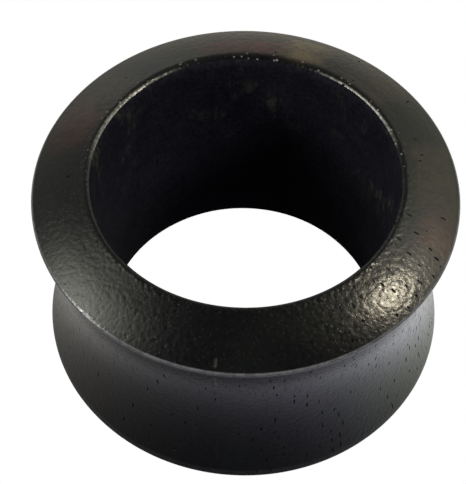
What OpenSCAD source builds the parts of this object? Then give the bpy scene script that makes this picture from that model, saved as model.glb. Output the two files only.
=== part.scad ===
/* [Saddle] */
// Diameter of the waist, which is the gauge of the stretched lobe it fits
gauge_d = 20; // [8:0.5:50]
// How far each flare stands out beyond the waist, on the radius
flare_rise = 0.95; // [0.6:0.05:2.6]
// Distance between the two flare edges
saddle_w = 10.75; // [7:0.05:20]

/* [Bore] */
// Thickness of the wood at the waist
waist_wall = 2.25; // [1:0.05:3]

/* [Rims] */
// Height of the front rim's bevel, from the flare edge up to the lip
front_bevel_h = 1.16; // [0.5:0.02:3]
// Height of the back rim's bevel, from the flare edge down to the lip
back_bevel_h = 1.88; // [0.5:0.02:3]
// How far each bevel bulges beyond a straight cone
bevel_crown = 0.11; // [0.04:0.01:0.3]
// Rounding of the two lips, where the bevels meet the bore
lip_round = 0.2; // [0.08:0.01:0.4]
// Rounding of the two flare edges
edge_round = 0.14; // [0.06:0.01:0.4]

/* [Hidden] */
$fn = 180;

gauge_r = gauge_d / 2;
flare_r = gauge_r + flare_rise;
bore_r = gauge_r - waist_wall;
half_w = saddle_w / 2;
// Share of a rounding's radius that its centre is set in by, so that it crosses both
// neighbours at a small angle and covers the corner between them
set_in = 0.99;

// Radius of the arc that stands rise above the middle of a chord
function arc_radius(chord, rise) = (chord * chord / 4 + rise * rise) / (2 * rise);

// Where two circles meet, on the left of the line from a to b
function circles_meet(a, ra, b, rb) =
    let (
        d = norm(b - a),
        along = (d * d + ra * ra - rb * rb) / (2 * d),
        u = (b - a) / d
    )
    a + along * u + sqrt(ra * ra - along * along) * [-u[1], u[0]];

// All profile points are [radius, height above the middle plane]
saddle_r = arc_radius(saddle_w, flare_rise);
saddle_c = [gauge_r + saddle_r, 0];
flare_edge = [flare_r, half_w];

// The bevel of height h: its lip corner, and the radius and centre of its arc
function lip_corner(h) = [bore_r, half_w + h];
function bevel_r(h) = arc_radius(norm(lip_corner(h) - flare_edge), bevel_crown);
function bevel_c(h) =
    let (
        lip = lip_corner(h),
        out = [lip[1] - flare_edge[1], flare_edge[0] - lip[0]] / norm(lip - flare_edge)
    )
    (flare_edge + lip) / 2 - (bevel_r(h) - bevel_crown) * out;

// Centres of the two roundings at the ends of that bevel
function lip_c(h) =
    let (
        c = bevel_c(h),
        x = bore_r + set_in * lip_round,
        reach = bevel_r(h) - set_in * lip_round
    )
    [x, c[1] + sqrt(pow(reach, 2) - pow(x - c[0], 2))];
function edge_c(h) = circles_meet(
    bevel_c(h), bevel_r(h) - set_in * edge_round, saddle_c, saddle_r + set_in * edge_round
);

// Height of the middle plane when the plug stands on its back lip
middle_z = lip_c(back_bevel_h)[1] + lip_round;

// Profile from just below the middle plane up to a lip, for a bevel of height h
module half_profile(h) {
    lip_c = lip_c(h);
    edge_c = edge_c(h);
    lip_out = (lip_c - bevel_c(h)) / norm(lip_c - bevel_c(h));
    edge_out = (edge_c - bevel_c(h)) / norm(edge_c - bevel_c(h));
    edge_in = (saddle_c - edge_c) / norm(saddle_c - edge_c);
    difference() {
        union() {
            intersection() {
                translate(bevel_c(h)) circle(bevel_r(h));
                polygon([
                    [bore_r, -1], [bore_r, lip_c[1]], lip_c, lip_c + lip_out, edge_c + edge_out,
                    edge_c, edge_c + edge_in, [flare_r, -1]
                ]);
            }
            translate(lip_c) circle(lip_round);
            translate(edge_c) circle(edge_round);
        }
        translate(saddle_c) circle(saddle_r);
    }
}

// The whole plug: standing on its back lip with the axis upright
module tunnel() {
    color([0.055, 0.045, 0.04])
    translate([0, 0, middle_z])
    rotate_extrude() {
        half_profile(front_bevel_h);
        mirror([0, 1]) half_profile(back_bevel_h);
    }
}

tunnel();
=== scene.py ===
"""A turned black wood ear tunnel, double flared, standing on its back lip on a pale table."""
import itertools
import math
import random

import bpy
from mathutils import Matrix, Vector, noise


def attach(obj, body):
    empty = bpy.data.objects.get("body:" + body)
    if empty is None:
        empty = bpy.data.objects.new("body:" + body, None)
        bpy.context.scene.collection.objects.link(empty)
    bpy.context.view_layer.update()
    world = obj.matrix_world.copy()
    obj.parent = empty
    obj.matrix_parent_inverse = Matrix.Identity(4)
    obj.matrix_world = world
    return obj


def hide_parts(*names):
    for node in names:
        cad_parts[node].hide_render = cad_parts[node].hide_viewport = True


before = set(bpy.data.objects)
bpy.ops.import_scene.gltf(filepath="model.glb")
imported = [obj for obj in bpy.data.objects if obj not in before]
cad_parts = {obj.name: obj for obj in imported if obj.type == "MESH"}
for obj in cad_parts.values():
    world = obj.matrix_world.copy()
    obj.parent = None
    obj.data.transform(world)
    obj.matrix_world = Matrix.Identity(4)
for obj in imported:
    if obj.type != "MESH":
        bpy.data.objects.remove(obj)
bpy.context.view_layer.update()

MM = 0.001

# Sizes of the plug, the same as in the part's own source
GAUGE_R = 10 * MM
FLARE_RISE = 0.95 * MM
SADDLE_W = 10.75 * MM
WAIST_WALL = 2.25 * MM
FRONT_BEVEL_H = 1.16 * MM
BACK_BEVEL_H = 1.88 * MM
BEVEL_CROWN = 0.11 * MM
LIP_ROUND = 0.2 * MM
EDGE_ROUND = 0.14 * MM
BORE_R = GAUGE_R - WAIST_WALL

# The front lip is rounder at the back of the plug, where it was rubbed more
LIP_ROUND_FAR = 0.52 * MM

# Faces round the axis, and along each stretch of the profile. The rim is the outermost strip of a bevel.
COLUMNS = 272
FACES = {"bore": 28, "lip": 12, "bevel": 25, "rim": 4, "edge": 9, "saddle": 60}
RIM_W = 0.13 * MM

# Vessels of the wood that the surface cuts open: how many in a square millimetre of each stretch
# where they are thickest, how many faces one runs over, its width as a share of a face, and over how
# many degrees to each side of the thickest place they thin out
PORES = {
    "bore": {"density": 0.4, "lengths": (1, 2), "width": 0.5, "spread": 45},
    "lip": {"density": 0.8, "lengths": (2, 4), "width": 0.5, "spread": 45},
    "bevel": {"density": 5.0, "lengths": (1, 3), "width": 0.55, "spread": 19},
    "saddle": {"density": 5.0, "lengths": (1, 3), "width": 0.36, "spread": 45},
}
PORE_RICH = {"azimuth": 318, "elsewhere": 0.03}
PORE_SEED = 11

# Many vessels are open pits. The rest are filled with wax almost to the surface and catch the light.
OPEN_SHARE = {"bore": 0.75, "lip": 0.75, "bevel": 0.75, "saddle": 0.5}
OPEN_DEPTH = (0.04 * MM, 0.09 * MM)
FILLED_DEPTH = (0.003 * MM, 0.009 * MM)

# How pits differ. In shares of a face: how far off its middle they lie and how far they stay from its
# ends. In shares of their width: how wide they come out, how ragged their sides are and how wide their
# ends are. The floor is a share of the mouth, along the axis and across.
PIT_SHIFT = 0.1
PIT_ENDS = (0.1, 0.22)
PIT_WIDTHS = (0.75, 1.15)
PIT_RAGGED = (0.85, 1.15)
PIT_TAPER = 0.6
PIT_FLOOR = (0.7, 0.5)

# How far hand sanding left the form from true, how many waves of it there are to a waist's radius, and
# where in the noise the heights are taken from, so that they don't follow the radii
WOBBLE = 0.012 * MM
WOBBLE_WAVES = 1.7
WOBBLE_SHIFT = Vector((9, 4, 2))

# Places where the front lip is worn back, as azimuth and spread in degrees and depth, and how far from
# the centre of the lip's rounding the wear reaches
WORN_LIPS = ((226, 34, 0.1 * MM), (40, 25, 0.09 * MM), (115, 20, 0.07 * MM))
WEAR_REACH = 0.9 * MM

# A flat rubbed on the front edge: its azimuth and spread, the way that it faces (0 is outwards, 90 is up)
# in degrees, and its depth
FLAT = {"azimuth": 227, "spread": 10, "facing": 58, "depth": 0.01 * MM}

# How far up the lips' roundings the dull finish of the bore reaches, as a share of their radius
DULL_LIP = 0.7

# Places of the three finishes in the mesh's list of materials
OUTSIDE, BORE, PIT = 0, 1, 2


def arc_radius(chord, rise):
    """Radius of the arc that stands rise above the middle of a chord."""
    return (chord * chord / 4 + rise * rise) / (2 * rise)


def circles_meet(a, radius_a, b, radius_b):
    """Where the circles round a and b meet, on the left of the line from a to b."""
    gap = (b - a).length
    along = (gap * gap + radius_a * radius_a - radius_b * radius_b) / (2 * gap)
    ahead = (b - a) / gap
    left = Vector((-ahead.y, ahead.x))
    return a + along * ahead + math.sqrt(radius_a * radius_a - along * along) * left


def on_circle(centre, radius, towards):
    """The point of the circle that lies towards another point."""
    return centre + (towards - centre).normalized() * radius


SADDLE_R = arc_radius(SADDLE_W, FLARE_RISE)
SADDLE_C = Vector((GAUGE_R + SADDLE_R, 0))


class Half:
    """The profile above the middle plane for a bevel of this height and a lip of this rounding.
    Names ending in _c are centres of arcs. All points are (radius, height)."""

    def __init__(self, bevel_h, lip_round):
        edge = Vector((GAUGE_R + FLARE_RISE, SADDLE_W / 2))
        lip = Vector((BORE_R, SADDLE_W / 2 + bevel_h))
        chord = lip - edge
        out = Vector((chord.y, -chord.x)).normalized()
        bevel_r = arc_radius(chord.length, BEVEL_CROWN)
        self.bevel_c = (edge + lip) / 2 - (bevel_r - BEVEL_CROWN) * out
        lip_x = BORE_R + lip_round
        reach = bevel_r - lip_round
        rise = math.sqrt(reach ** 2 - (lip_x - self.bevel_c.x) ** 2)
        self.lip_c = Vector((lip_x, self.bevel_c.y + rise))
        self.edge_c = circles_meet(self.bevel_c, bevel_r - EDGE_ROUND, SADDLE_C, SADDLE_R + EDGE_ROUND)
        self.bore_end = Vector((BORE_R, self.lip_c.y))
        self.lip_end = on_circle(self.bevel_c, bevel_r, self.lip_c)
        self.edge_start = on_circle(self.bevel_c, bevel_r, self.edge_c)
        self.edge_end = on_circle(SADDLE_C, SADDLE_R, self.edge_c)
        back = (self.lip_end - self.edge_start).normalized() * RIM_W
        self.rim_start = on_circle(self.bevel_c, bevel_r, self.edge_start + back)


FRONT = Half(FRONT_BEVEL_H, LIP_ROUND)
FRONT_FAR = Half(FRONT_BEVEL_H, LIP_ROUND_FAR)
BACK = Half(BACK_BEVEL_H, LIP_ROUND)
MIDDLE_Z = BACK.lip_c.y + LIP_ROUND


def low(point):
    """The point as far below the middle plane as the given one is above it."""
    return Vector((point.x, -point.y))


def arc(centre, start, end, count):
    """count points from start up to, and not including, end, the short way round centre."""
    first = math.atan2(start.y - centre.y, start.x - centre.x)
    last = math.atan2(end.y - centre.y, end.x - centre.x)
    turn = (last - first + math.pi) % (2 * math.pi) - math.pi
    radius = (start - centre).length
    angles = [first + turn * i / count for i in range(count)]
    return [centre + radius * Vector((math.cos(t), math.sin(t))) for t in angles]


def profile(front):
    """The closed profile as (point, stretch) pairs, up the bore and down the outside."""
    start, end = low(BACK.bore_end), front.bore_end
    rings = [(start.lerp(end, i / FACES["bore"]), "bore") for i in range(FACES["bore"])]
    for centre, first, last, stretch in (
        (front.lip_c, front.bore_end, front.lip_end, "lip"),
        (front.bevel_c, front.lip_end, front.rim_start, "bevel"),
        (front.bevel_c, front.rim_start, front.edge_start, "rim"),
        (front.edge_c, front.edge_start, front.edge_end, "edge"),
        (SADDLE_C, front.edge_end, low(BACK.edge_end), "saddle"),
        (low(BACK.edge_c), low(BACK.edge_end), low(BACK.edge_start), "edge"),
        (low(BACK.bevel_c), low(BACK.edge_start), low(BACK.rim_start), "rim"),
        (low(BACK.bevel_c), low(BACK.rim_start), low(BACK.lip_end), "bevel"),
        (low(BACK.lip_c), low(BACK.lip_end), low(BACK.bore_end), "lip"),
    ):
        rings += [(point, stretch) for point in arc(centre, first, last, FACES[stretch])]
    return rings


# The profile at the front of the plug and at its back, where the lip is rounder, ring by ring
RINGS = profile(FRONT)
RINGS_FAR = profile(FRONT_FAR)


def turn_between(a, b):
    """Degrees from azimuth b to azimuth a, from -180 to 180."""
    return (a - b + 180) % 360 - 180


def rub_flat(point, azimuth):
    """The profile point at this azimuth, moved in where the flat on the front edge cuts it off."""
    off = turn_between(azimuth, FLAT["azimuth"])
    facing = math.radians(FLAT["facing"])
    out = Vector((math.cos(facing), math.sin(facing)))
    reach = EDGE_ROUND - FLAT["depth"] * math.exp(-(off / FLAT["spread"]) ** 2)
    return point - max(0, (point - FRONT.edge_c).dot(out) - reach) * out


def is_dull(row):
    """True for the faces of the bore and for the part of each lip that turns down into it."""
    point, stretch = RINGS[row]
    lip_z = FRONT.lip_c.y if point.y > 0 else BACK.lip_c.y
    turns_down = point.x < BORE_R + LIP_ROUND and abs(point.y) < lip_z + DULL_LIP * LIP_ROUND
    return stretch == "bore" or stretch == "lip" and turns_down


def ring_point(row, column):
    """The surface point where profile row and column meet, with the form's slight unevenness.
    row and column may lie between whole numbers."""
    row %= len(RINGS)
    first = int(row)
    after = (first + 1) % len(RINGS)
    angle = 2 * math.pi * column / COLUMNS
    azimuth = math.degrees(angle)
    near, far = (rings[first][0].lerp(rings[after][0], row - first) for rings in (RINGS, RINGS_FAR))
    point = rub_flat(near.lerp(far, (1 + math.sin(angle)) / 2), azimuth)
    radius, height = point
    place = Vector((math.cos(angle), math.sin(angle), height / GAUGE_R)) * WOBBLE_WAVES
    radius += WOBBLE * noise.noise(place)
    height += WOBBLE * noise.noise(place + WOBBLE_SHIFT)
    near_lip = max(0, 1 - (point - FRONT.lip_c).length / WEAR_REACH)
    for worn_azimuth, spread, depth in WORN_LIPS:
        off = turn_between(azimuth, worn_azimuth)
        radius += depth * math.exp(-(off / spread) ** 2) * near_lip
    return Vector((radius * math.cos(angle), radius * math.sin(angle), height + MIDDLE_Z))


def pit_mouth(rng, length, width):
    """The outline and centre of a pit over length faces, as (along, across) in shares of a face."""
    middle = 0.5 + rng.uniform(-PIT_SHIFT, PIT_SHIFT)
    half = width / 2 * rng.uniform(*PIT_WIDTHS)
    end = rng.uniform(*PIT_ENDS)
    spots = []
    for i in range(length + 1):
        along = min(max(i, end), length - end)
        taper = PIT_TAPER if i in (0, length) else 1
        spots.append((along, half * taper * rng.uniform(*PIT_RAGGED)))
    mouth = [(along, middle - across) for along, across in spots]
    mouth += [(along, middle + across) for along, across in reversed(spots)]
    return mouth, (length / 2, middle)


class WoodMesh:
    """The lathed surface, with each open vessel sunk into the face or faces that it takes up."""

    def __init__(self):
        self.verts = [ring_point(r, c) for r in range(len(RINGS)) for c in range(COLUMNS)]
        self.taken = set()
        self.faces = []
        self.slots = []
        self.sharp = set()

    def at(self, row, column):
        """Number of the vertex at a whole row and column."""
        return row % len(RINGS) * COLUMNS + column % COLUMNS

    def face(self, corners, row, in_pit=False):
        """Adds a face that lies at this row, inside an open pit or not."""
        self.faces.append(corners)
        self.slots.append(PIT if in_pit else BORE if is_dull(row) else OUTSIDE)

    def add_pore(self, rng, row, column, length, width):
        """Sinks one pit over length faces from row on, or does nothing if one is too near."""
        cells = {(row + i, column + j) for i in range(-1, length + 1) for j in (-1, 0, 1)}
        if cells & self.taken:
            return
        self.taken |= {(row + i, column) for i in range(length)}
        mouth, centre = pit_mouth(rng, length, width)
        floor = [[c + (m - c) * share for m, c, share in zip(spot, centre, PIT_FLOOR)] for spot in mouth]
        is_open = rng.random() < OPEN_SHARE[RINGS[row][1]]
        depth = rng.uniform(*(OPEN_DEPTH if is_open else FILLED_DEPTH))
        tilt = rng.uniform(-1, 1), rng.uniform(-1, 1)
        corner, ahead, beside = (ring_point(row + i, column + j) for i, j in ((0, 0), (1, 0), (0, 1)))
        inward = (beside - corner).cross(ahead - corner).normalized()
        first = len(self.verts)
        self.verts += [ring_point(row + along, column + across) for along, across in mouth]
        for along, across in floor:
            lean = tilt[0] * (along - centre[0]) / length + tilt[1] * (across - centre[1]) / width
            self.verts.append(ring_point(row + along, column + across) + inward * depth * (1 + lean))
        outer = [self.at(row + i, column) for i in range(length + 1)]
        outer += [self.at(row + i, column + 1) for i in range(length, -1, -1)]
        count = len(mouth)
        rim = [first + i for i in range(count)]
        base = [first + count + i for i in range(count)]
        for i in range(count):
            j = (i + 1) % count
            self.face((outer[j], outer[i], rim[i], rim[j]), row)
            self.face((rim[j], rim[i], base[i], base[j]), row, is_open)
            self.sharp.add((min(rim[i], rim[j]), max(rim[i], rim[j])))
        for i in range(length):
            self.face((base[i + 1], base[i], base[-1 - i], base[-2 - i]), row, is_open)

    def add_pores(self, rng):
        """Sinks pits into every stretch that has them, most on the side where the vessels are thick."""
        for stretch, group in itertools.groupby(range(len(RINGS)), lambda row: RINGS[row][1]):
            if stretch not in PORES:
                continue
            rows = list(group)
            start, end = rows[0], rows[-1] + 1
            pores = PORES[stretch]
            radius = RINGS[(start + end) // 2][0].x
            run = (RINGS[end % len(RINGS)][0] - RINGS[start][0]).length
            area = run * 2 * math.pi * radius / MM ** 2
            for _ in range(round(pores["density"] * area)):
                length = rng.randint(*pores["lengths"])
                row = rng.randint(start, end - length)
                column = rng.randrange(1, COLUMNS - 1)
                off = turn_between(360 * column / COLUMNS, PORE_RICH["azimuth"]) / pores["spread"]
                if rng.random() < max(PORE_RICH["elsewhere"], math.exp(-off * off)):
                    self.add_pore(rng, row, column, length, pores["width"])

    def add_plain_faces(self):
        """Closes the surface with a plain face wherever no pit lies."""
        for r in range(len(RINGS)):
            for c in range(COLUMNS):
                if (r, c) not in self.taken:
                    corners = (self.at(r + 1, c), self.at(r, c), self.at(r, c + 1), self.at(r + 1, c + 1))
                    self.face(corners, r)

    def build(self, name, materials):
        """The finished object. The materials are those of the outside, the bore and the pits."""
        mesh = bpy.data.meshes.new(name)
        mesh.from_pydata(self.verts, [], self.faces)
        for material in materials:
            mesh.materials.append(material)
        mesh.polygons.foreach_set("material_index", self.slots)
        mesh.shade_smooth()
        marks = mesh.attributes.new("sharp_edge", "BOOLEAN", "EDGE")
        sharp = [tuple(sorted(edge.vertices)) in self.sharp for edge in mesh.edges]
        marks.data.foreach_set("value", sharp)
        mesh.update()
        obj = bpy.data.objects.new(name, mesh)
        bpy.context.collection.objects.link(obj)
        return obj


class Graph:
    """Adds nodes to one material or world. Inputs are numbers, colours or other nodes' outputs."""

    def __init__(self, owner):
        owner.use_nodes = True
        self.tree = owner.node_tree
        self.tree.nodes.clear()

    def add(self, kind, inputs=(), **settings):
        """A shader node of this kind, with its inputs by name or number and its settings by name."""
        node = self.tree.nodes.new("ShaderNode" + kind)
        for name, value in settings.items():
            setattr(node, name, value)
        for key, value in dict(inputs).items():
            if isinstance(value, bpy.types.NodeSocket):
                self.tree.links.new(value, node.inputs[key])
            else:
                node.inputs[key].default_value = value
        return node

    def math(self, operation, a, b=0.0):
        """The number that a Math node makes of a and b."""
        return self.add("Math", {0: a, 1: b}, operation=operation).outputs[0]

    def plus(self, first, *others):
        """The sum of all the numbers."""
        for value in others:
            first = self.math("ADD", first, value)
        return first

    def minus(self, a, b):
        """a less b."""
        return self.math("SUBTRACT", a, b)

    def times(self, first, *others):
        """The product of all the numbers."""
        for value in others:
            first = self.math("MULTIPLY", first, value)
        return first

    def vector(self, operation, a, b, output=0):
        """What a Vector Math node makes of a and b: a vector, or from output 1 a number."""
        return self.add("VectorMath", {0: a, 1: b}, operation=operation).outputs[output]

    def noise(self, place, scale, detail, rough=0.55):
        """Cloudy noise from 0 to 1, with scale features to a millimetre."""
        inputs = {"Vector": place, "Scale": scale, "Detail": detail, "Roughness": rough}
        return self.add("TexNoise", inputs).outputs[0]

    def cells(self, place, scale):
        """Distance to the nearest of many scattered points, scale of them to a millimetre."""
        inputs = {"Vector": place, "Scale": scale, "Randomness": 1.0}
        return self.add("TexVoronoi", inputs).outputs[0]

    def smooth_cells(self, place, scale):
        """The same distance with the creases between the cells smoothed away."""
        inputs = {"Vector": place, "Scale": scale, "Smoothness": 1.0, "Randomness": 1.0}
        return self.add("TexVoronoi", inputs, feature="SMOOTH_F1").outputs[0]

    def ramp(self, value, low, high, to_low=0.0, to_high=1.0):
        """value moved from the range low to high onto the range to_low to to_high, smoothly and clamped."""
        inputs = {"Value": value, "From Min": low, "From Max": high, "To Min": to_low, "To Max": to_high}
        return self.add("MapRange", inputs, interpolation_type="SMOOTHSTEP").outputs[0]

    def mix(self, factor, a, b):
        """Colour a where factor is 0 and b where it is 1."""
        return self.add("Mix", {0: factor, 6: a, 7: b}, data_type="RGBA").outputs[2]

    def finish(self, shader):
        """Makes this shader the material's surface."""
        self.add("OutputMaterial", {"Surface": shader.outputs[0]})


# Colours of the wood, as light that it scatters back
BLACK = (0.001, 0.001, 0.0011, 1)
DARK_BROWN = (0.0045, 0.003, 0.0022, 1)
DARK_GREEN = (0.002, 0.0028, 0.0018, 1)
RED_BROWN = (0.085, 0.022, 0.018, 1)
YELLOW_BROWN = (0.07, 0.05, 0.024, 1)
BORE_BLACK = (0.0016, 0.0016, 0.004, 1)
PORE_BLACK = (0.0016, 0.0013, 0.0012, 1)
# Pale wear of the sharp edges, partly a painted highlight along the edge's rounding
WORN_AND_EDGE_SHEEN = (0.11, 0.111, 0.118, 1)
DUST = (0.013, 0.013, 0.0175, 1)
SCUFF = (0.042, 0.039, 0.031, 1)
# Pale specks painted on the far half of the lip as its glints
PAINTED_GLINT_SPECK = (0.2, 0.2, 0.18, 1)
# Pale colour painted on the lip as its glint lines, and on one small mark
PAINTED_LIP_GLINT_PALE = (0.42, 0.42, 0.38, 1)

# Coloured wood that shows in the front bevel, each as colour, strength, azimuths from and to in
# degrees, how softly it ends there, and radii from and to in millimetres
PATCHES = (
    (RED_BROWN, 0.44, (78, 104), (1.5, 9), (8.5, 9.66)),
    (YELLOW_BROWN, 0.95, (64, 77), (3, 4), (8.35, 10.4)),
    (RED_BROWN, 0.2, (150, 168), (7, 5), (8.4, 10.7)),
    (RED_BROWN, 0.34, (336, 350), (4, 5), (9.1, 10.8)),
    (YELLOW_BROWN, 0.3, (330, 346), (6, 6), (9.6, 10.8)),
    (YELLOW_BROWN, 0.2, (34, 52), (3, 8), (8.3, 10.6)),
    (YELLOW_BROWN, 0.28, (350, 15), (10, 2.5), (8.6, 10.7)),
    (YELLOW_BROWN, 0.24, (134, 157), (5, 6), (8.3, 10.7)),
)

# Painted highlights on the front bevel: pale glint lines on the far half of its lip, and one small pale
# mark near its edge:
# strength, azimuths from and to, how softly it ends there, and millimetres from and to, beyond the bore
PAINTED_LIP_GLINTS_AND_MARK = (
    (0.34, (122, 168), (9, 10), (0.13, 0.33)),
    (0.95, (24, 56), (11, 10), (0.03, 0.32)),
    (0.08, (262.8, 263.5), (0.4, 0.3), (2.52, 2.92)),
)

# Where the fades at the inner and outer radii of a patch and of a painted glint or mark start and stop, in
# millimetres from that radius
PATCH_FADES = (-0.4, 0.4), (0.08, -0.08)
GLINT_AND_MARK_FADES = (-0.05, 0.06), (0.08, -0.06)

# Azimuths on the front bevel between which the wax dried in coarser beads, and how softly they end
COARSE_WAX = {"reach": (309, 335), "softness": (9, 11)}

# In millimetres: the radii of the flare's sharp edge and of the bore, the height of the waist, and a
# height just under the front edge, above which the front bevel lies
EDGE_MM = (GAUGE_R + FLARE_RISE) / MM
BORE_MM = BORE_R / MM
MIDDLE_MM = MIDDLE_Z / MM
BEVEL_MM = MIDDLE_MM + 5

# Width of the fibres' pattern as a share of its length along the axis
FIBRE_WIDTH = 0.09
# The wax's roughness where it lies thick and where it is thin, and what a tiny vessel adds
WAX_ROUGHNESS = (0.145, 0.225)
VESSEL_ROUGHNESS = 0.12
# Relief of the outside: the height of one unit of it, and how many units each thing adds or takes
RELIEF = 0.0095 * MM
RELIEF_UNITS = {"fibres": 0.2, "pebbles": 0.65, "domes": 0.85, "lip_beads": 3.0, "vessels": 0.2}


def millimetres(g):
    """Where on the plug the shader is, in millimetres."""
    return g.vector("MULTIPLY", g.add("TexCoord").outputs["Object"], (1 / MM, 1 / MM, 1 / MM))


class Place:
    """Sockets that say where on the plug the shader is: mm is the place in millimetres, fibres the same
    drawn out along the axis as the wood's fibres are, and azimuth is in degrees from 0 to 360. radius
    and height are in millimetres."""

    def __init__(self, g):
        self.mm = millimetres(g)
        self.fibres = g.vector("MULTIPLY", self.mm, (1, 1, FIBRE_WIDTH))
        x, y, self.height = g.add("SeparateXYZ", {0: self.mm}).outputs
        angle = g.times(g.math("ARCTAN2", y, x), 180 / math.pi)
        self.azimuth = g.math("FLOORED_MODULO", angle, 360)
        self.radius = g.math("SQRT", g.plus(g.times(x, x), g.times(y, y)))


def between(g, azimuth, reach, softness):
    """1 from the first azimuth of reach to the second, and 0 elsewhere, with ends as soft as stated."""
    half = (reach[1] - reach[0]) % 360 / 2
    off = g.minus(azimuth, reach[0] + half - 180)
    off = g.minus(g.math("FLOORED_MODULO", off, 360), 180)
    starts = g.ramp(off, -half - softness[0], -half + softness[0])
    ends = g.ramp(off, half + softness[1], half - softness[1])
    return g.times(starts, ends)


def fade(g, value, edge, reach):
    """From 0 to 1 as value goes from the first to the second distance of reach past the edge."""
    return g.ramp(value, edge + reach[0], edge + reach[1])


def add_patches(g, at, colour):
    """The colour with the coloured patches of the front bevel laid over it, their edges ragged."""
    ragged = g.times(g.minus(g.noise(at.mm, 1.6, 3), 0.5), 6)
    azimuth = g.plus(at.azimuth, ragged)
    radius = g.plus(at.radius, g.times(ragged, 0.05))
    on_front = g.ramp(at.height, BEVEL_MM, BEVEL_MM + 0.4)
    uneven = g.ramp(g.noise(at.mm, 1.3, 5, 0.65), 0.3, 0.65, 0.3, 1)
    rays = g.times(on_front, uneven)
    for tint, strength, reach, softness, (inner, outer) in PATCHES:
        share = g.times(rays, between(g, azimuth, reach, softness))
        share = g.times(share, fade(g, radius, inner, PATCH_FADES[0]))
        share = g.times(share, fade(g, radius, outer, PATCH_FADES[1]))
        colour = g.mix(g.times(share, strength), colour, tint)
    return colour


def add_worn_and_sheen_edges(g, at, front, colour):
    """The colour with the sharp edge of the flare worn pale, here more and there less. The pale edge is
    partly wear and partly a painted highlight along the edge's rounding.
    """
    wear_and_sheen = g.ramp(at.radius, EDGE_MM - 0.16, EDGE_MM - 0.09)
    wear_and_sheen = g.times(wear_and_sheen, g.ramp(g.noise(at.mm, 2.2, 4), 0.35, 0.6, 0.55, 1))
    return g.mix(g.times(wear_and_sheen, front), colour, WORN_AND_EDGE_SHEEN)


def add_painted_glint_specks(g, at, front, colour):
    """The colour with pale specks painted along the far half of the lip, as painted glints."""
    glint_specks = g.ramp(g.cells(at.mm, 2.8), 0.24, 0.08)
    glint_specks = g.times(glint_specks, g.ramp(at.radius, BORE_MM + 0.9, BORE_MM + 0.2))
    far_half = g.ramp(g.math("SINE", g.math("RADIANS", at.azimuth)), -0.1, 0.4)
    return g.mix(g.times(glint_specks, far_half, front), colour, PAINTED_GLINT_SPECK)


def add_painted_lip_glints(g, at, front, colour):
    """The colour with the painted glint lines of the lip and the small pale mark, broken up by the beads of
    the wax.
    """
    beaded = g.times(front, g.ramp(g.noise(at.mm, 4.5, 1), 0.35, 0.6, 0.4, 1))
    beyond_bore = g.minus(at.radius, BORE_MM)
    for strength, reach, softness, (inner, outer) in PAINTED_LIP_GLINTS_AND_MARK:
        glint_or_mark = g.times(between(g, at.azimuth, reach, softness), strength)
        glint_or_mark = g.times(glint_or_mark, fade(g, beyond_bore, inner, GLINT_AND_MARK_FADES[0]))
        glint_or_mark = g.times(glint_or_mark, fade(g, beyond_bore, outer, GLINT_AND_MARK_FADES[1]))
        colour = g.mix(g.times(glint_or_mark, beaded), colour, PAINTED_LIP_GLINT_PALE)
    return colour


def outside_colour(g, at, streaks, vessels):
    """Black wood with brown and greenish fibres and tiny vessels, what lies on it or is worn off, and the
    painted highlights and glints of its edge and lip.
    """
    zones = g.noise(at.fibres, 0.32, 3)
    colour = g.mix(g.ramp(zones, 0.5, 0.68), BLACK, DARK_GREEN)
    brown = g.times(g.ramp(streaks, 0.42, 0.72), g.ramp(zones, 0.5, 0.35, 0.25, 1))
    colour = g.mix(brown, colour, DARK_BROWN)
    colour = add_patches(g, at, colour)
    colour = g.mix(g.times(vessels, 0.6), colour, PORE_BLACK)
    # The pale marks, painted highlights and glints among them, are full on the front flare and faint on the
    # back one
    front = g.ramp(at.height, MIDDLE_MM, MIDDLE_MM + 4, 0.1, 1)
    colour = add_worn_and_sheen_edges(g, at, front, colour)
    colour = add_painted_glint_specks(g, at, front, colour)
    return add_painted_lip_glints(g, at, front, colour)


def outside_relief(g, at, streaks, vessels, wax):
    """Height of the fibres, of the pebbled skin and coarse domes of the wax, of the beads at the lip
    and of the tiny vessels, together."""
    pebbles = g.times(g.noise(at.mm, 4.5, 1), RELIEF_UNITS["pebbles"])
    pebbles = g.minus(pebbles, g.math("POWER", g.smooth_cells(at.mm, 4.4), 2.0))
    relief = g.plus(g.times(streaks, RELIEF_UNITS["fibres"]), pebbles)
    on_bevel = g.ramp(at.height, BEVEL_MM, BEVEL_MM + 0.5)
    coarse = g.times(between(g, at.azimuth, **COARSE_WAX), on_bevel)
    domes = g.times(g.math("POWER", wax, 2.0), g.times(coarse, RELIEF_UNITS["domes"]))
    relief = g.minus(relief, domes)
    at_lip = g.ramp(at.radius, BORE_MM + 0.8, BORE_MM + 0.15)
    beads = g.times(g.noise(at.mm, 5.0, 0), at_lip)
    relief = g.plus(relief, g.times(beads, RELIEF_UNITS["lip_beads"]))
    return g.minus(relief, g.times(vessels, RELIEF_UNITS["vessels"]))


def outside_wood():
    """Sanded and waxed: black with brown and greenish fibres, satin, with its sharp edges worn pale and
    partly painted as a highlight, and with painted glints along its lip.
    """
    material = bpy.data.materials.new("black_wood")
    g = Graph(material)
    at = Place(g)
    streaks = g.noise(at.fibres, 3.2, 6, 0.62)
    vessels = g.ramp(g.cells(at.fibres, 4.5), 0.3, 0.15)
    wax = g.cells(at.mm, 3.2)
    rough = g.plus(g.ramp(wax, 0.1, 0.45, *WAX_ROUGHNESS), g.times(vessels, VESSEL_ROUGHNESS))
    relief = outside_relief(g, at, streaks, vessels, wax)
    bump = g.add("Bump", {"Height": relief, "Strength": 1.0, "Distance": RELIEF}).outputs[0]
    colour = outside_colour(g, at, streaks, vessels)
    shader = g.add("BsdfPrincipled", {"Base Color": colour, "Roughness": rough, "Normal": bump, "IOR": 1.5})
    g.finish(shader)
    return material


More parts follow.
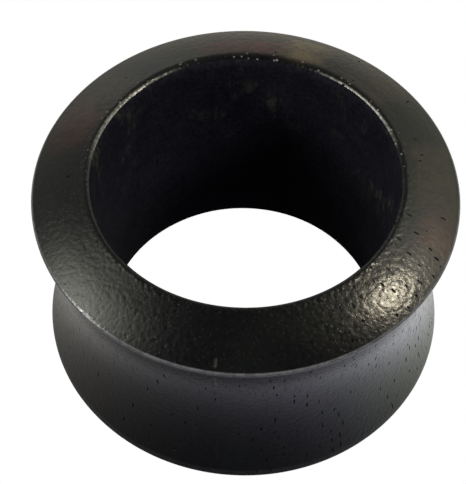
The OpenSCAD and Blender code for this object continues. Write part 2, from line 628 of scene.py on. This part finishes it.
def bore_wood():
    """Bored and left dull, under fine dust, with paler, browner scuffs only in its upper half, so that it
    comes out lighter towards the top.
    """
    material = bpy.data.materials.new("bore_wood")
    g = Graph(material)
    at = Place(g)
    streaks = g.noise(at.fibres, 3.0, 6, 0.6)
    # Scuffs only above the waist, so the bore is lighter towards the top
    upper_half_reach = g.ramp(at.height, MIDDLE_MM - 1, MIDDLE_MM + 2)
    upper_half_reach = g.times(upper_half_reach, g.ramp(g.noise(at.mm, 0.5, 2), 0.52, 0.66))
    upright = g.vector("MULTIPLY", at.mm, (1, 1, 0.25))
    scuffs = g.times(upper_half_reach, g.ramp(g.noise(upright, 2.4, 4, 0.65), 0.42, 0.66))
    colour = g.mix(scuffs, DUST, SCUFF)
    cloudy = g.ramp(g.noise(at.mm, 0.8, 4), 0.3, 0.7, 0.7, 1)
    grainy = g.ramp(g.noise(at.mm, 4.5, 2), 0.3, 0.7, 0.5, 1)
    colour = g.mix(g.times(cloudy, grainy), BORE_BLACK, colour)
    bump = g.add("Bump", {"Height": streaks, "Strength": 0.5, "Distance": 0.015 * MM}).outputs[0]
    shader = g.add("BsdfPrincipled", {"Base Color": colour, "Roughness": 0.7, "Normal": bump, "IOR": 1.04})
    g.finish(shader)
    return material


def pore_wood():
    """The walls of the open vessels: black, with a trace of wax that glints."""
    material = bpy.data.materials.new("pore_wood")
    g = Graph(material)
    patchy = g.noise(millimetres(g), 6.0, 2)
    colour = g.mix(patchy, PORE_BLACK, BLACK)
    rough = g.ramp(patchy, 0.35, 0.65, 0.4, 0.7)
    shader = g.add("BsdfPrincipled", {"Base Color": colour, "Roughness": rough, "IOR": 1.5})
    g.finish(shader)
    return material


def make_wood():
    """The plug itself, in place of the solid of the part's source."""
    shape = WoodMesh()
    shape.add_pores(random.Random(PORE_SEED))
    shape.add_plain_faces()
    wood = shape.build("tunnel_wood", (outside_wood(), bore_wood(), pore_wood()))
    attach(wood, "root")
    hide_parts("tunnel")


# The camera that the photograph's ellipses were fitted with. Its lens follows from the focal length and
# from the photograph's height, which is its longer side, both in pixels.
FRAME_H_PX = 484
FOCAL_PX = 1391
SENSOR = 36
CAM_DISTANCE = 71.04 * MM
CAM_ELEVATION = math.radians(53.16)
CAM_PITCH = math.radians(2.19)
CAM_YAW = math.radians(0.48)
CAM_ROLL = math.radians(1.13)
# What lies nearer or further than this from the camera, in metres, isn't drawn
NEAREST = 1 * MM
FURTHEST = 10


def make_camera():
    """Looks down on the front edge's centre, then turns a little, as the photograph is framed."""
    aim = Vector((0, 0, MIDDLE_Z + FRONT.edge_c.y))
    back = Vector((0, -math.cos(CAM_ELEVATION), math.sin(CAM_ELEVATION)))
    right = Vector((1, 0, 0))
    down = back.cross(right)
    square = Matrix((right, -down, -back))
    roll = Matrix.Rotation(CAM_ROLL, 3, "Z")
    yaw = Matrix.Rotation(CAM_YAW, 3, "Y")
    pitch = Matrix.Rotation(CAM_PITCH, 3, "X")
    rows = roll @ yaw @ pitch @ square
    pose = Matrix((rows[0], -rows[1], -rows[2])).transposed().to_4x4()
    pose.translation = aim + back * CAM_DISTANCE
    cam = bpy.data.objects.new("camera", bpy.data.cameras.new("camera"))
    bpy.context.collection.objects.link(cam)
    cam.matrix_world = pose
    cam.data.sensor_width = SENSOR
    cam.data.lens = FOCAL_PX * SENSOR / FRAME_H_PX
    cam.data.clip_start = NEAREST
    cam.data.clip_end = FURTHEST
    bpy.context.scene.camera = cam


# The table: radius of its flat part, radius of the sweep up into the wall, the wall's top, its sides
# round about, and the sweep's step in degrees
FLOOR_R = 0.8
SWEEP_R = 0.3
WALL_H = 0.6
FLOOR_SIDES = 96
SWEEP_STEP = 10


def make_floor():
    """A pale table that curves up into a wall all round. It glows a little, as a light table does."""
    outline = [(FLOOR_R, 0)]
    for angle in range(SWEEP_STEP, 90 + SWEEP_STEP, SWEEP_STEP):
        a = math.radians(angle)
        outline.append((FLOOR_R + SWEEP_R * math.sin(a), SWEEP_R * (1 - math.cos(a))))
    outline.append((FLOOR_R + SWEEP_R, WALL_H))
    turns = [2 * math.pi * c / FLOOR_SIDES for c in range(FLOOR_SIDES)]
    verts = [(r * math.cos(t), r * math.sin(t), z) for r, z in outline for t in turns]
    faces = [tuple(range(FLOOR_SIDES))]
    for k in range(len(outline) - 1):
        low_ring, high_ring = k * FLOOR_SIDES, (k + 1) * FLOOR_SIDES
        for c in range(FLOOR_SIDES):
            d = (c + 1) % FLOOR_SIDES
            faces.append((low_ring + c, low_ring + d, high_ring + d, high_ring + c))
    mesh = bpy.data.meshes.new("table")
    mesh.from_pydata(verts, [], faces)
    mesh.shade_smooth()
    table = bpy.data.objects.new("table", mesh)
    bpy.context.collection.objects.link(table)
    material = bpy.data.materials.new("pale_table")
    g = Graph(material)
    shader = g.add("BsdfPrincipled", {
        "Base Color": (0.22, 0.22, 0.22, 1), "Roughness": 0.9, "Specular IOR Level": 0.0,
        "Emission Color": (1, 1, 1, 1), "Emission Strength": 1.0,
    })
    g.finish(shader)
    mesh.materials.append(material)
    table.visible_glossy = False
    table.visible_diffuse = False
    table.visible_shadow = False


def direction(azimuth, elevation):
    """Unit vector towards azimuth, counted from +X towards +Y, and elevation, both in degrees."""
    a, e = math.radians(azimuth), math.radians(elevation)
    return Vector((math.cos(a) * math.cos(e), math.sin(a) * math.cos(e), math.sin(e)))


# The room's soft light: a dim even part, and wide glows. Each is an azimuth and elevation in degrees, a
# narrowness, which is the power that sharpens its fall-off, and its colour at the middle.
ROOM = (0.075, 0.074, 0.09)
GLOWS = (
    (33, -20, 3, (0.72, 0.77, 0.58)),
    (164, -20, 3, (0.2, 0.19, 0.15)),
    (30, 40, 10, (0.78, 0.78, 0.63)),
    (120, 10, 3, (0.3, 0.31, 0.26)),
    (109, 20, 45, (0.34, 0.36, 0.36)),
    (330, -20, 6, (0.1, 0.1, 0.12)),
    (335, -60, 8, (0.09, 0.09, 0.14)),
    (42, -59, 20, (0.26, 0.24, 0.36)),
    (68, -62, 20, (0.36, 0.37, 0.35)),
    (126, -64, 25, (0.22, 0.21, 0.18)),
    (85, -20, 8, (0.6, 0.51, 0.42)),
    (179, 46, 38, (4.9, 4.9, 4.3)),
    (19, 43, 60, (0.9, 0.85, 0.76)),
    (26, 52, 50, (0.45, 0.44, 0.38)),
    (0, -85, 6, (0.16, 0.16, 0.175)),
)


def make_room():
    """The soft light that comes from all round: the even part and the glows, added up."""
    world = bpy.data.worlds.new("room")
    g = Graph(world)
    way = g.add("TexCoord").outputs["Generated"]
    total = ROOM
    for azimuth, elevation, narrowness, colour in GLOWS:
        facing = g.vector("DOT_PRODUCT", way, direction(azimuth, elevation), 1)
        glow = g.math("POWER", g.math("MAXIMUM", facing, 0.0), narrowness)
        tinted = g.add("VectorMath", {0: colour, "Scale": glow}, operation="SCALE").outputs[0]
        total = g.vector("ADD", total, tinted)
    shader = g.add("Background", {"Color": total, "Strength": 1.0})
    g.add("OutputWorld", {"Surface": shader.outputs[0]})
    bpy.context.scene.world = world


# Soft lamps: azimuth, elevation, width and height as seen from the plug, in degrees, brightness, colour,
# and what they light: the shine of the wood, its colour, or both
LAMP_DISTANCE = 0.4
LAMPS = {
    "key_lamp": (8, 54, 7, 9, 46.0, (1.0, 0.9, 0.68), "both"),
    "left_lamp": (190, 38, 9, 8, 24.0, (0.97, 1.0, 0.93), "both"),
    "front_outer": (252, 28, 120, 54, 0.36, (0.97, 0.98, 1.0), "shine"),
    "front_middle": (252, 28, 106, 42, 0.34, (0.97, 0.98, 1.0), "shine"),
    "front_inner": (252, 28, 90, 30, 0.32, (0.97, 0.98, 1.0), "shine"),
    "right_fill": (317, 34, 20, 14, 20.0, (1.0, 1.0, 1.0), "colour"),
    "left_fill": (200, 24, 20, 14, 18.0, (1.0, 1.0, 1.0), "colour"),
}


def lamp_size(degrees):
    """Width of a lamp that looks as wide as this from the plug."""
    return 2 * LAMP_DISTANCE * math.tan(math.radians(degrees / 2))


def make_lamps():
    """Oval lamps that face the plug. A lamp's power follows from its brightness and its area."""
    for name, (azimuth, elevation, width, height, brightness, colour, lights) in LAMPS.items():
        lamp = bpy.data.lights.new(name, "AREA")
        lamp.shape = "ELLIPSE"
        lamp.size = lamp_size(width)
        lamp.size_y = lamp_size(height)
        area = math.pi * lamp.size * lamp.size_y / 4
        lamp.energy = brightness * math.pi * area
        lamp.color = colour
        obj = bpy.data.objects.new(name, lamp)
        bpy.context.collection.objects.link(obj)
        way = direction(azimuth, elevation)
        obj.location = way * LAMP_DISTANCE
        obj.rotation_mode = "QUATERNION"
        obj.rotation_quaternion = way.to_track_quat("Z", "Y")
        obj.visible_camera = False
        obj.visible_glossy = lights != "colour"
        obj.visible_diffuse = lights != "shine"


make_camera()
make_wood()
make_floor()
make_room()
make_lamps()
bpy.context.scene.view_settings.view_transform = "Standard"
